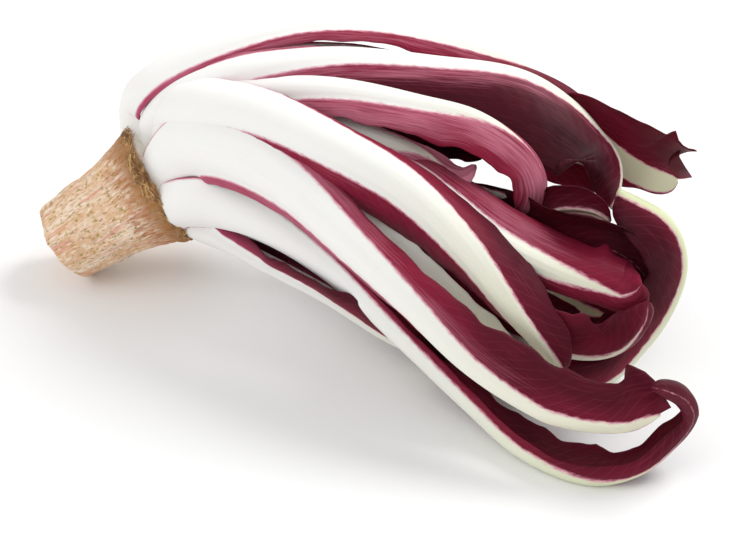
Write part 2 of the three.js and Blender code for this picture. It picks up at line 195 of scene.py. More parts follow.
def nodes_for(tree):
    """Empties a node tree and gives back new(kind, inputs, **settings), which adds a node."""
    tree.nodes.clear()

    def new(kind, inputs=None, **settings):
        node = tree.nodes.new(kind)
        for key, value in settings.items():
            setattr(node, key, value)
        for key, value in (inputs or {}).items():
            feed(node.inputs[key], value)
        return node

    return new


def start_material(name):
    """A new material with no nodes yet, and new(), which adds one to it."""
    material = bpy.data.materials.new(name)
    material.use_nodes = True
    return material, nodes_for(material.node_tree)


def math_node(new, operation, a, b=0.0):
    return new("ShaderNodeMath", {0: a, 1: b}, operation=operation).outputs[0]


def mix_colour(new, share, a, b):
    return new("ShaderNodeMix", {0: share, 6: a, 7: b}, data_type="RGBA").outputs[2]


def ramp(new, value, low, high):
    """0 at low, 1 at high, smooth between."""
    node = new("ShaderNodeMapRange", {"Value": value, "From Min": low, "From Max": high},
               interpolation_type="SMOOTHSTEP")
    return node.outputs[0]


def streaks(new, across, along, detail, rough, offset=(0, 0, 0)):
    """Noise over the surface's own UV map: that many cells to the metre each way."""
    uv = new("ShaderNodeUVMap", uv_map="surface")
    place = new("ShaderNodeMapping", {"Vector": uv.outputs[0], "Location": offset,
                                      "Scale": (across, along, 1)})
    noise = new("ShaderNodeTexNoise", {"Vector": place.outputs[0], "Scale": 1.0,
                                       "Detail": detail, "Roughness": rough})
    return noise.outputs[0]


def root_bark():
    """Pared flesh: cream, peach and ochre dashes, olive pits, rust near the brown rim."""
    material, new = start_material("root_bark")
    distance = new("ShaderNodeAttribute", attribute_name="from_rim").outputs["Fac"]

    def share(value, low, high, most):
        return math_node(new, "MULTIPLY", ramp(new, value, low, high), most)

    def uneven_distance(pattern, spread):
        return math_node(new, "ADD", distance, math_node(new, "MULTIPLY", pattern, spread))

    broad = streaks(new, 150, 45, 4, 0.6)
    dash = streaks(new, 1100, 260, 5, 0.7)
    dark_dash = streaks(new, 1500, 420, 3, 0.6, (2, 8, 0))
    blotch = streaks(new, 110, 90, 4, 0.65, (3, 7, 0))
    pink = streaks(new, 500, 42, 2, 0.5, (7, 4, 0))
    speck = streaks(new, 620, 480, 2, 0.5, (9, 1, 0))
    near_rim, at_rim = uneven_distance(blotch, 16.0), uneven_distance(dash, 8.0)
    rusty = share(near_rim, -3.5, 1.0, 0.85)

    cream, peach = (0.90, 0.71, 0.54, 1), (0.80, 0.52, 0.32, 1)
    chalk, ochre = (1.0, 0.91, 0.78, 1), (0.52, 0.28, 0.08, 1)
    flush, umber = (0.74, 0.30, 0.22, 1), (0.26, 0.13, 0.045, 1)
    olive, rust = (0.38, 0.29, 0.05, 1), (0.40, 0.13, 0.04, 1)
    brown, dark_brown = (0.34, 0.16, 0.05, 1), (0.28, 0.15, 0.065, 1)
    crown_white = (0.80, 0.76, 0.66, 1)
    colour = cream
    for amount, over in [
            (ramp(new, broad, 0.36, 0.6), peach),
            (share(dash, 0.5, 0.66, 0.8), chalk),
            (share(dash, 0.49, 0.3, 0.85), ochre),
            (share(pink, 0.57, 0.68, 0.6), flush),
            (share(dark_dash, 0.56, 0.68, 0.85), umber),
            (share(speck, 0.60, 0.68, 0.8), olive),
            (math_node(new, "MULTIPLY", rusty, ramp(new, dash, 0.7, 0.35)), rust),
            (share(at_rim, -3.2, 2.2, 0.85), brown),
            (share(at_rim, 4.6, 6.0, 0.8), dark_brown),
            (share(distance, 1.6, 3.0, 0.95), crown_white)]:
        colour = mix_colour(new, amount, colour, over)

    height = math_node(new, "ADD", dash, math_node(new, "MULTIPLY", dark_dash, -0.7))
    bump = new("ShaderNodeBump", {"Height": height, "Strength": 0.6, "Distance": 0.0007})
    skin = new("ShaderNodeBsdfPrincipled", {"Base Color": colour, "Roughness": 0.75,
                                            "Specular IOR Level": 0.25,
                                            "Normal": bump.outputs[0]})
    new("ShaderNodeOutputMaterial", {"Surface": skin.outputs[0]})
    return material


rings, around, from_rim = root_rings()
root_mesh = grid_mesh("root_stub_bark", rings)
set_uv(root_mesh, around, from_rim)
set_points(root_mesh, "from_rim", from_rim)
root_mesh.materials.append(root_bark())
root = add(root_mesh, "root_stub_bark")
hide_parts("root_stub")


# ------------------------------------------------------------------ torn fibres of the rim
# Dry shreds left where the outer leaves were pulled off: short flat slivers that stand
# forward from the rim over the leaf feet.  One sliver is repeated round the rim.

FIBRES = 680
FIBRE_LENGTH, FIBRE_WIDTH = 4.2, 0.3  # mm
FIBRE_FLATNESS = 0.35  # thickness as a share of the width
FIBRE_SHORTEST, FIBRE_LONGEST = 0.35, 1.5  # shares of the length
FIBRE_BACK, FIBRE_FORE = -2.6, 1.6  # mm along the root, between which the fibres stand
FIBRE_REACH, FIBRE_FALL = 23.2, 0.5  # mm out from the root's axis, and mm lower to the mm


def dry_fibre():
    """Dead skin, from brown to straw."""
    material, new = start_material("dry_fibre")
    place = new("ShaderNodeTexCoord").outputs["Object"]
    noise = new("ShaderNodeTexNoise", {"Vector": place, "Scale": 420.0, "Detail": 3.0})
    brown, straw = (0.20, 0.095, 0.035, 1), (0.62, 0.38, 0.16, 1)
    colour = mix_colour(new, ramp(new, noise.outputs[0], 0.35, 0.65), brown, straw)
    skin = new("ShaderNodeBsdfPrincipled", {"Base Color": colour, "Roughness": 0.85})
    new("ShaderNodeOutputMaterial", {"Surface": skin.outputs[0]})
    return material


def fibre_tree(material):
    """Geometry nodes: on each point a tapered sliver that points along the point's heading."""
    tree = bpy.data.node_groups.new("rim_fibres", "GeometryNodeTree")
    face = tree.interface
    face.new_socket("Geometry", in_out="INPUT", socket_type="NodeSocketGeometry")
    for name, value in [("Length", FIBRE_LENGTH * MM), ("Width", FIBRE_WIDTH * MM)]:
        face.new_socket(name, in_out="INPUT", socket_type="NodeSocketFloat").default_value = value
    face.new_socket("Seed", in_out="INPUT", socket_type="NodeSocketInt").default_value = 11
    face.new_socket("Geometry", in_out="OUTPUT", socket_type="NodeSocketGeometry")

    new = nodes_for(tree)
    given = new("NodeGroupInput").outputs
    sliver = new("GeometryNodeMeshCone", {"Vertices": 5, "Radius Top": 0.15,
                                          "Radius Bottom": 1.0, "Depth": 1.0})
    heading = new("GeometryNodeInputNamedAttribute", {"Name": "heading"},
                  data_type="FLOAT_VECTOR")
    turned = new("FunctionNodeAlignRotationToVector", {"Vector": heading.outputs[0]}, axis="Z")
    some = new("FunctionNodeRandomValue", {2: FIBRE_SHORTEST, 3: FIBRE_LONGEST,
                                           "Seed": given["Seed"]})
    thick = math_node(new, "MULTIPLY", given["Width"], FIBRE_FLATNESS)
    long = math_node(new, "MULTIPLY", some.outputs[1], given["Length"])
    size = new("ShaderNodeCombineXYZ", {0: given["Width"], 1: thick, 2: long})
    spread = new("GeometryNodeInstanceOnPoints", {
        "Points": given["Geometry"], "Instance": sliver.outputs[0],
        "Rotation": turned.outputs[0], "Scale": size.outputs[0]})
    real = new("GeometryNodeRealizeInstances", {0: spread.outputs[0]})
    painted = new("GeometryNodeSetMaterial", {"Geometry": real.outputs[0], "Material": material})
    new("NodeGroupOutput", {0: painted.outputs[0]})
    return tree


def made_by(tree, points, headings, name):
    """Runs a geometry-nodes tree over points with headings and keeps the plain mesh."""
    seedbed = bpy.data.meshes.new(name + "_points")
    seedbed.from_pydata([tuple(p) for p in points], [], [])
    seedbed.attributes.new("heading", "FLOAT_VECTOR", "POINT").data.foreach_set(
        "vector", np.ascontiguousarray(headings, np.float32).ravel())
    holder = bpy.data.objects.new(name + "_points", seedbed)
    bpy.context.scene.collection.objects.link(holder)
    holder.modifiers.new("made", "NODES").node_group = tree
    bpy.context.view_layer.update()
    made = bpy.data.meshes.new_from_object(
        holder.evaluated_get(bpy.context.evaluated_depsgraph_get()))
    bpy.data.objects.remove(holder)
    made.name = name
    return made


chance = np.random.default_rng(21)
turn = chance.uniform(0, 2 * math.pi, FIBRES)[:, None]
back = chance.uniform(FIBRE_BACK, FIBRE_FORE, FIBRES)[:, None]
reach = FIBRE_REACH - FIBRE_FALL * np.abs(back) + chance.uniform(-0.5, 0.2, (FIBRES, 1))
radial = np.cos(turn) * root_up - np.sin(turn) * root_side
round_rim = -np.sin(turn) * root_up - np.cos(turn) * root_side
sweep = chance.choice([-1, 1], (FIBRES, 1)) * chance.uniform(1.2, 5.0, (FIBRES, 1))
headings = root_axis + sweep * round_rim + chance.uniform(-0.2, 0.1, (FIBRES, 1)) * radial
forward = back + collar_lean(back, turn)
rim_points = (ROOT_COLLAR + forward * root_axis + reach * radial) * MM
fibre_mesh = made_by(fibre_tree(dry_fibre()), rim_points, headings, "rim_fibres")
fibres = add(fibre_mesh, "rim_fibres")


# ------------------------------------------------------------------ leaves
# Each leaf is one piece: a thick white rib, rounded outside, with a thin red blade down both
# sides that folds in towards the head.  The rib narrows and the red spreads to the tip, and
# fine veins fan forward from the rib into the blade.

GAP = 0.3  # mm, between rib and blade
LEAF_STEPS, HIDDEN_STEPS = 16, 10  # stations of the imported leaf
FINE_STEPS, HIDDEN_FINE_STEPS = 170, 80  # stations of the finished one
ROUTE_SAMPLES, AXIS_SAMPLES = 401, 201  # places by which a curve is measured
PACKED_EVENING, FINE_EVENING = 3, 12  # times that neighbouring stations' ways out are evened
WING_COLUMNS, RIB_COLUMNS = 16, 16  # strips of the mesh across a wing and across the rib
BLADE_EDGE, BLADE_FOOT = 0.3, 0.62  # mm, thickness of the blade at its edge and by the rib
LEAF_CLEARS_FLOOR = 0.02  # mm

# The line that the leaves lie round, from the root's cut end to the heart's tip, in mm.
HEAD_AXIS = [
    (-122, -15, 12.5), (-95, 6, 34), (-82, 15, 46), (-58, 20, 56), (-28, 18, 58),
    (0, 19, 56), (34, 19, 50), (75, 14, 42), (110, 8, 38),
]

# One row for each leaf.  route: mm along the middle of the rib, from the collar to the tip.
# rib: half width of the rib at its foot.  left, right: the blade on the rib's two sides, seen
# from outside the head with the tip pointing away: its reach near the foot and near the tip,
# and the degrees at which it leaves the rib and ends at its edge.  taper: share of its width
# that the rib loses towards the tip.  opens: shares of the length where the blade starts and
# stops widening.  blunt: share where it starts to round off.  sweep: how far the left and the
# right edge run ahead of the rib at the tip.  curl: share of the length after which the tip
# rolls by its own bend.  twist: degrees that the leaf leans to its right, at foot and tip.
# hidden: the leaf is inside or under the head, and needs fewer points.
LEAVES = [
    dict(name="front", rib=11.5, left=(1.5, 14, 45, 82), right=(4, 1.5, 5, 30), curl=0.8,
         taper=0.85, sweep=(4, 0), blunt=0.985,
         route=[(-85.5, -1.5, 38), (-82, -2, 50), (-75, -2.5, 60), (-64, -5, 66), (-46, -9, 69),
                (-24, -13, 66), (0, -20, 58), (24, -25, 47), (48, -28, 33), (70, -27, 23),
                (80.5, -25, 20.5), (90, -21.5, 19.5), (99, -17.5, 20.5), (107, -11.5, 24.5)]),
    dict(name="front_low", rib=10, left=(1.5, 3.4, 50, 90), right=(4, 12.5, 40, 125), curl=0.7,
         twist=(-38, 8), taper=0.88, blunt=0.6,
         route=[(-85, -4, 31), (-75, -7, 40), (-60, -5, 43), (-38, -4, 40), (-13, -4, 30),
                (15, -11, 20), (44, -19, 10), (68, -26, 4), (90, -26, 2.2), (104, -18, 5),
                (112, -8, 13), (115, -4, 21), (113, -7, 29.5), (108.5, -13.5, 36),
                (105.5, -17.5, 39)]),
    dict(name="front_top", rib=10.5, left=(1, 13, 60, 95), right=(1.5, 14, 20, 60),
         route=[(-89, 3.5, 42), (-90.5, 6.5, 54), (-87.5, 7, 65), (-78, 4.5, 73), (-65, 2, 79),
                (-42, -1, 83), (-12, -5, 81), (14, -7, 75), (37, -10, 62), (56, -12, 44),
                (72, -8, 24)]),
    dict(name="top_back", rib=9.5, left=(1, 4, 60, 100), right=(2.2, 6, 20, 70),
         twist=(25, 30),
         route=[(-104, 8, 46), (-109, 14, 58), (-103, 15, 69), (-92, 22, 78), (-73, 32, 87),
                (-54, 43, 92), (-33, 52, 93), (-12, 60, 90), (8, 69, 84), (28, 76, 77),
                (40, 78, 70)]),
    dict(name="top", rib=8, left=(3.2, 1.2, -5, 25), right=(3, 30, 40, 88),
         twist=(15, 15),
         route=[(-97, 6, 46), (-96, 8, 60), (-86, 10, 71), (-71, 14, 81), (-55, 19, 88),
                (-31, 31, 92), (-5, 45, 90), (20, 57, 87), (38, 62, 79), (51, 63, 69),
                (58, 60.5, 63), (61.5, 55, 57.5), (62.5, 47, 52.5)]),
    dict(name="top_front", rib=8, left=(1, 4, 50, 90), right=(1.3, 11, 15, 60), curl=0.8,
         twist=(10, 10), blunt=0.93,
         route=[(-90, 4, 46), (-84, 4, 64), (-66, 9, 78), (-46, 14, 84), (-23, 18, 88),
                (2, 24, 87), (21, 28, 85), (37, 31, 77), (45, 30, 67), (45, 28, 54)]),
    dict(name="far_top", rib=8, left=(1, 1.5, 10, 40), right=(2, 24, 5, 35), curl=0.8,
         twist=(0, -13), taper=0.5, opens=(0.6, 0.95), sweep=(0, 5), blunt=0.96,
         route=[(-96, 14, 40), (-90, 28, 58), (-70, 42, 74), (-41, 53.5, 79), (-2, 61.5, 75),
                (31.5, 69.5, 66.5), (42.5, 71.5, 62), (50.5, 72.5, 57), (57.5, 73.5, 53),
                (64, 74.5, 50.5), (69, 76.5, 49), (73.5, 78.5, 50)]),
    dict(name="middle", rib=8, left=(1.4, 12.5, 25, 75), right=(1, 5, 20, 60), curl=0.7,
         blunt=0.955,
         route=[(-80, 8, 48), (-30, 12, 66), (2, 10, 68), (20, 6, 66), (42, 3, 59), (61, 5, 53),
                (77, 9, 48.5), (82.5, 10, 47.5), (86.5, 11, 49.5), (88.5, 11.5, 53)]),
    dict(name="middle_low", rib=6, left=(2.4, 17, 22, 62), right=(1, 5, 20, 60), curl=0.7,
         opens=(0.2, 0.68), blunt=0.6,
         route=[(-78, 8, 40), (-40, 6, 50), (-10, 4, 45), (20, 0, 36), (36.5, -1, 31.5),
                (50.5, -1.5, 28), (62.5, 0, 26), (72.5, 2, 25), (80, 4.5, 26), (85.5, 6.5, 29.5),
                (89.5, 7.5, 35.5), (92, 8.5, 42.5), (92.5, 7.5, 50)]),
    dict(name="hook", rib=8, left=(2.5, 15, 50, 95), right=(1.7, 14, 50, 95), curl=0.5,
         twist=(0, -12), taper=0.6, blunt=0.93,
         route=[(-84, 12, 24), (-60, 14, 20), (-20, 14, 12), (20, 14, 6), (55, 14, 3), (74, 20, 4),
                (84, 32, 16), (91, 36, 34), (92.5, 37, 50), (86.5, 35, 64), (69, 35, 69)]),
    dict(name="bottom", rib=9, left=(9, 12, 25, 60), right=(1.2, 10, 20, 60),
         route=[(-84, 1, 28), (-75, 1, 26), (-61, 2, 24), (-41, 1, 21), (-18, -1, 18),
                (11, -3, 11), (40, 4, 5), (65, 10, 4)]),
    dict(name="back_low", rib=9, left=(1.1, 9, 20, 60), right=(1.7, 14, 20, 60), curl=0.8,
         hidden=True,
         route=[(-92, 20, 32), (-88, 32, 36), (-70, 42, 40), (-42, 48, 36), (-15, 50, 24),
                (8, 52, 11), (28, 54, 4), (46, 55, 2.2), (66, 52, 5), (80, 47, 12)]),
    dict(name="back_middle", rib=8, left=(1, 8, 20, 60), right=(1.2, 10, 20, 60), hidden=True,
         route=[(-95, 22, 40), (-98, 30, 52), (-84, 42, 62), (-60, 52, 66), (-32, 60, 64),
                (-5, 66, 58), (20, 71, 53), (40, 73, 50), (50, 70, 50), (57, 62, 50.5)]),
    dict(name="under", rib=7, left=(1, 8, 20, 60), right=(1, 8, 20, 60), hidden=True,
         route=[(-88, 14, 22), (-78, 26, 22), (-55, 30, 22), (-25, 31, 18), (5, 32, 13),
                (35, 34, 9), (62, 36, 9)]),
    dict(name="inner_front", rib=5, left=(1, 6, 20, 60), right=(1, 6, 20, 60), hidden=True,
         route=[(-80, 6, 50), (-40, -4, 66), (-12, -6, 64), (8, -9, 55), (28, -11, 42),
                (45, -9, 32), (60, -6, 24)]),
    dict(name="inner_top", rib=7, left=(1, 6, 20, 60), right=(1, 5, 20, 60),
         taper=0.65, hidden=True,
         route=[(-88, 6, 46), (-78, 6, 64), (-56, 11, 71), (-34, 14, 76), (-12, 14, 76),
                (5.5, 18.5, 71.5), (15.5, 18, 69), (21, 18.5, 69), (25, 20.5, 72)]),
    dict(name="inner_back", rib=6, left=(12, 15, 0, 40), right=(1.4, 12, 20, 60), hidden=True,
         route=[(-85, 14, 48), (-60, 30, 66), (-30, 40, 71), (-5, 45, 69), (15, 48, 66),
                (19, 48, 64.5)]),
    dict(name="inner_low", rib=6, left=(1, 6, 20, 60), right=(1, 6, 20, 60), hidden=True,
         route=[(-80, 12, 36), (-50, 16, 33), (-10, 18, 29), (30, 17, 24), (60, 18, 22)]),
    dict(name="heart_top", rib=2.2, left=(1.5, 11, 70, 110), right=(1.2, 9, -85, -30),
         taper=0.5, opens=(0.74, 0.88), hidden=True,
         route=[(-78, 12, 50), (-30, 22, 60), (20, 28, 58), (38, 27.5, 58), (47.5, 28, 56.5),
                (52.5, 29.5, 58.5), (57.5, 31.5, 59), (63, 33, 58.5), (68, 33, 57)]),
    dict(name="heart_right", rib=5, left=(1.6, 10, 20, 60), right=(1.6, 16, 0, 40), hidden=True,
         route=[(-78, 12, 46), (-30, 20, 50), (20, 19, 47), (48, 21, 48), (66, 25, 52),
                (72.5, 28.5, 50), (78.5, 29.5, 47), (84.5, 30, 41.5)]),
    dict(name="heart_low", rib=5, left=(1.3, 11, 20, 70), right=(1.3, 11, 20, 70), curl=0.6,
         hidden=True,
         route=[(-78, 14, 44), (-30, 26, 50), (15, 32, 46), (40, 34, 46), (54, 32, 48.5),
                (58, 26.5, 52)]),
]

# How each leaf is torn and coloured.  ruffle: share of the blade's reach that its edge waves
# in and out.  lobes: side (-1 left, 1 right), share of the length, half length in mm, how far
# the edge stands out there in mm, or is drawn in where that is negative, and how many degrees
# it rolls inwards.  white_ends: share of the length where the white runs out.  white_foot: how
# far the white spreads over the left wing in mm, at these shares of the length.  white_spill:
# mm that it runs past the rib's edge, towards the tip.  red_inside: mm that the red reaches
# over the rib on its inner face, near the foot.  rose: how rosy the blade is next to the rib,
# 0 to 1, for how many mm, and the share of the length where that ends; this rose is partly the
# blade's own colour and partly a painted sheen where the soft light catches the blade.
# darkness_and_shade, green: how dark the blade is and how green the rib, from 0.  The darkness
# is partly the blade's own deep colour and partly painted shade: it is strongest on the leaves
# inside the head, in the hollow under the front leaf and on the top leaf's inward-folding wing.
SKINS = dict(
    front=dict(white_ends=1.15, white_spill=0.3, rose=(0.6, 4.5, 0.95), darkness_and_shade=0.55,
               lobes=[(-1, 0.965, 4, 5, -70), (-1, 0.55, 28, -3.6, 0)]),
    front_low=dict(white_ends=0.9, ruffle=0.16, darkness_and_shade=0.9, green=0.65),
    front_top=dict(white_ends=1.2, white_spill=0.8, rose=(0.35, 6, 0.8), darkness_and_shade=0.5),
    top_back=dict(white_ends=1.0, rose=(0.6, 5, 1.1)),
    top=dict(white_ends=1.15, white_spill=1.2, rose=(0.65, 6.5, 1.1), darkness_and_shade=1.1),
    top_front=dict(white_ends=0.9, rose=(0.7, 9, 1.35), darkness_and_shade=0.0),
    far_top=dict(white_ends=1.3, darkness_and_shade=0.45, green=0.4,
                 lobes=[(-1, 0.9, 5, 7, 230), (1, 0.93, 2.5, 3.5, -10)]),
    middle=dict(white_ends=1.02, rose=(0.5, 9, 1.15), darkness_and_shade=0.1,
                lobes=[(-1, 0.9, 1.8, 2.2, -20)]),
    middle_low=dict(white_ends=1.0, white_foot=[(0.3, 11), (0.55, 8), (0.66, 0)], darkness_and_shade=0.45),
    hook=dict(white_ends=1.3, white_spill=1.3, red_inside=14, darkness_and_shade=0.9, green=0.65),
    bottom=dict(white_foot=[(0.08, 9.5), (0.17, 4.2), (0.38, 4.2), (0.75, 0)], darkness_and_shade=1.4,
                green=0.5),
    back_low=dict(darkness_and_shade=0.8, green=0.6),
    under=dict(darkness_and_shade=0.9, green=0.6),
    inner_front=dict(white_ends=1.0, white_foot=[(0, 12), (0.8, 12), (1, 3)]),
    inner_top=dict(white_ends=0.95, rose=(0.9, 7, 1.4), green=0.0),
    inner_back=dict(white_ends=0.5, darkness_and_shade=1.5),
    inner_low=dict(darkness_and_shade=1.3),
    heart_top=dict(white_ends=1.3, darkness_and_shade=1.1),
    heart_right=dict(white_ends=0.5, darkness_and_shade=1.3),
    heart_low=dict(white_ends=0.5, darkness_and_shade=1.3))

# What a leaf has where neither of these two tables says otherwise.
USUAL = dict(
    curl=1, twist=(0, 0), taper=0.8, opens=(0.08, 0.85), blunt=0.84, sweep=(0, 0), hidden=False,
    ruffle=0, lobes=[], white_ends=0.97, white_foot=[(0, 0)], white_spill=0, red_inside=0,
    rose=(0, 1, 1), darkness_and_shade=0.3, green=0.15)

EDGE_TEETH = [(0.03, 26, 1), (0.01, 90, 3)]  # share of the reach, count along the leaf, seed
RUFFLE_EVERY, RUFFLE_START = 27, 1.2  # mm, and radians
DIP = 0.07  # share of the reach that a wing rises and falls along the leaf
SWELLS = [(24, 0.6), (13, 0.3), (6, 0.07)]  # waves of a wing: mm long, and mm high at its edge
VEIN_HEIGHT, VEIN_EVERY, VEIN_SLANT = 0.16, 7.0, 0.9  # raised: mm, mm, mm forward to the mm
FINE_VEIN_EVERY, FINE_VEIN_SLANT = 0.0055, 1.7  # painted only: m, and m forward to the m
PUCKER, PUCKER_EVERY = 0.14, 4  # mm high and long
RIB_LINES, RIB_LINE_EVERY = 0.05, 1.7  # mm high, and mm from one to the next
OUTER_BULGE, INNER_BULGE = (0.45, 0.7), (0.22, 0.5)  # of the rib: share of its half width, mm
RIB_TIP = 0.3  # mm, half the rib's thickness where it runs out
ROUND_FROM, ROUND_OVER = 0.965, 0.035  # shares of the length, for the leaf's very tip
PATTERN_STEP = 300  # mm from one leaf's piece of the skin's pattern to the next one's


def walk(route, shares):
    """Places at shares of the length of a smooth curve through the route, and its length."""
    knots = np.array(route, float)
    knots = np.vstack([2 * knots[0] - knots[1], knots, 2 * knots[-1] - knots[-2]])
    spans = len(knots) - 3

    def curve(t):
        k = np.minimum((t * spans).astype(int), spans - 1)
        w = (t * spans - k)[:, None]
        a, b, c, d = (knots[k + n] for n in range(4))
        m, n = (c - a) / 2, (d - b) / 2
        return (2 * b - 2 * c + m + n) * w**3 + (3 * c - 3 * b - 2 * m - n) * w**2 + m * w + b

    t = np.linspace(0, 1, ROUTE_SAMPLES)
    run = np.linalg.norm(np.diff(curve(t), axis=0), axis=1)
    run = np.concatenate([[0], np.cumsum(run)])
    return curve(np.interp(np.asarray(shares) * run[-1], run, t)), run[-1]


def unit(vectors):
    return vectors / np.linalg.norm(vectors, axis=-1, keepdims=True)


def square_to(vectors, along):
    return unit(vectors - (vectors * along).sum(-1, keepdims=True) * along)


axis_places = walk(HEAD_AXIS, np.linspace(0, 1, AXIS_SAMPLES))[0]


def leaf_frames(leaf, steps, fine):
    """Fine stations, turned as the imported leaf's are: share of the length, place, the way out
    from the head and the way to the leaf's right.  The leaf's length in mm comes last."""
    places = walk(leaf["route"], np.linspace(0, 1, steps + 1))[0]
    before = places[np.maximum(np.arange(steps + 1) - 1, 0)]
    after = places[np.minimum(np.arange(steps + 1) + 1, steps)]
    along = unit(after - before)
    out = np.zeros_like(places)
    for i, place in enumerate(places):
        if i / steps > leaf["curl"]:
            outward = out[i - 1]
        else:
            nearest = ((axis_places - place) ** 2).sum(1).argmin()
            outward = place - axis_places[nearest]
        out[i] = square_to(outward, along[i])
    for _ in range(PACKED_EVENING):
        out[1:-1] = square_to(out[:-2] + 2 * out[1:-1] + out[2:], along[1:-1])

    share = np.linspace(0, 1, fine + 1)
    place, length = walk(leaf["route"], share)
    heading = unit(np.gradient(place, axis=0))
    coarse = np.linspace(0, 1, steps + 1)
    outs = np.stack([np.interp(share, coarse, out[:, k]) for k in range(3)], 1)
    for _ in range(FINE_EVENING):
        outs[1:-1] = (outs[:-2] + 2 * outs[1:-1] + outs[2:]) / 4
    outs = square_to(outs, heading)
    at_foot, at_tip = leaf["twist"]
    lean = np.radians(at_foot + (at_tip - at_foot) * share)[:, None]
    outs = outs * np.cos(lean) + np.cross(heading, outs) * np.sin(lean)
    return share, place + HEAD_SHIFT, outs, np.cross(heading, outs), length


def rib_half(leaf, share):
    """Half width of the rib: a little narrower at the very foot, then tapering to the tip."""
    foot_width = leaf["rib"] * (0.8 + 0.2 * smooth(0, 0.12, share))
    return foot_width * (1 - leaf["taper"] * share**0.9)


def blade_reach(leaf, at_foot, at_tip, share):
    """How far a wing reaches from the rib: it widens, then rounds off to the tip."""
    reach = at_foot + (at_tip - at_foot) * smooth(*leaf["opens"], share)
    into_tip = np.clip((share - leaf["blunt"]) / (1 - leaf["blunt"]), 0, 1)
    return np.maximum(reach * np.sqrt(1 - into_tip**2), 0.8)


def sheet(**values):
    """Named values of a sheet's points, all brought to one shape."""
    return dict(zip(values, np.broadcast_arrays(*values.values())))


def wing(leaf, way, u, length, half, seed, chance):
    """One side of the blade, left (-1) or right (1).  u runs up the leaf, v out to the edge."""
    at_foot, at_tip, *folds = leaf["left"] if way < 0 else leaf["right"]
    fold_in, fold_out = np.radians(folds)
    run = u * length
    v = np.linspace(0, 1, WING_COLUMNS + 1)[None, :]

    torn = sum(part * grain(u, 0 * u, count, 1, seed * 7 + way + extra)
               for part, count, extra in EDGE_TEETH)
    reach = blade_reach(leaf, at_foot, at_tip, u) * (1 + torn * smooth(0.1, 0.4, u))
    ruffle = leaf["ruffle"] * smooth(0.5, 0.7, u)
    reach *= 1 + ruffle * np.sin(2 * math.pi * run / RUFFLE_EVERY + RUFFLE_START)
    turn = fold_in + (fold_out - fold_in) * v
    for lobe_way, centre, spread, height, roll in leaf["lobes"]:
        lobe = (lobe_way == way) * np.exp(-(((u - centre) * length / spread) ** 2))
        reach = reach + height * lobe
        turn = turn + math.radians(roll) * lobe * smooth(0.45, 1.0, v)

    # across and drop follow the fold, step by step from the rib
    middle = (turn[:, 1:] + turn[:, :-1]) / 2
    pace = reach / WING_COLUMNS
    across = half + GAP + np.cumsum(np.hstack([0 * u, pace * np.cos(middle)]), 1)
    drop = -np.cumsum(np.hstack([0 * u, pace * np.sin(middle)]), 1)
    drop += DIP * reach * v**2 * np.sin(23 * u + way)
    for wave, height in SWELLS:
        phase = chance.uniform(0, 6.28)
        swell = np.sin(2 * math.pi * run / wave + phase + 1.5 * v)
        drop += height * v**1.5 * np.minimum(reach / 9, 1) * swell

    forward = run - VEIN_SLANT * reach * v
    vein = np.cos(2 * math.pi * forward / VEIN_EVERY + 1.2 * np.sin(run / 11))
    vein = np.clip(vein, 0, 1) ** 3 * (1 - v) ** 0.6 * np.minimum(reach / 5, 1)
    pucker = PUCKER * grain(u, v, int(length / PUCKER_EVERY), 5, seed * 11 + way)
    lift = VEIN_HEIGHT * vein + pucker * np.sin(math.pi * v)
    half_thick = (BLADE_FOOT + (BLADE_EDGE - BLADE_FOOT) * v**0.7) / 2
    sweep = leaf["sweep"][(way + 1) // 2]
    return sheet(across=way * across, drop=drop, ahead=sweep * v**2 * smooth(0.75, 1.0, u),
                 face=way * turn * smooth(-0.05, 0.12, v), lift=lift * smooth(0, 0.06, v),
                 above=half_thick, below=half_thick, from_rib=reach * v,
                 flat=way * (half + GAP + reach * v))


def rib_between(u, length, half, seed):
    """The rib, rounder outside than inside, with fine lines along it."""
    x = np.linspace(-1, 1, RIB_COLUMNS + 1)[None, 1:-1]
    fade = 1 - smooth(0.72, 0.97, u)
    foot = BLADE_FOOT / 2
    bulge = (1 - np.abs(x) ** 2.1) ** 0.8
    wander = np.sin(u * length / 17) + seed
    lines = RIB_LINES * np.cos(2 * math.pi * half * x / RIB_LINE_EVERY + wander)

    def rise(part, more):
        thick = (part * half + more) * fade + RIB_TIP * (1 - fade)
        return foot + (thick - foot) * bulge

    return sheet(across=half * x, drop=0.0, ahead=0.0, face=0.0,
                 lift=lines * smooth(0.1, 0.5, u) * fade,
                 above=rise(*OUTER_BULGE), below=rise(*INNER_BULGE),
                 from_rib=-(1 - np.abs(x)) * half, flat=half * x)


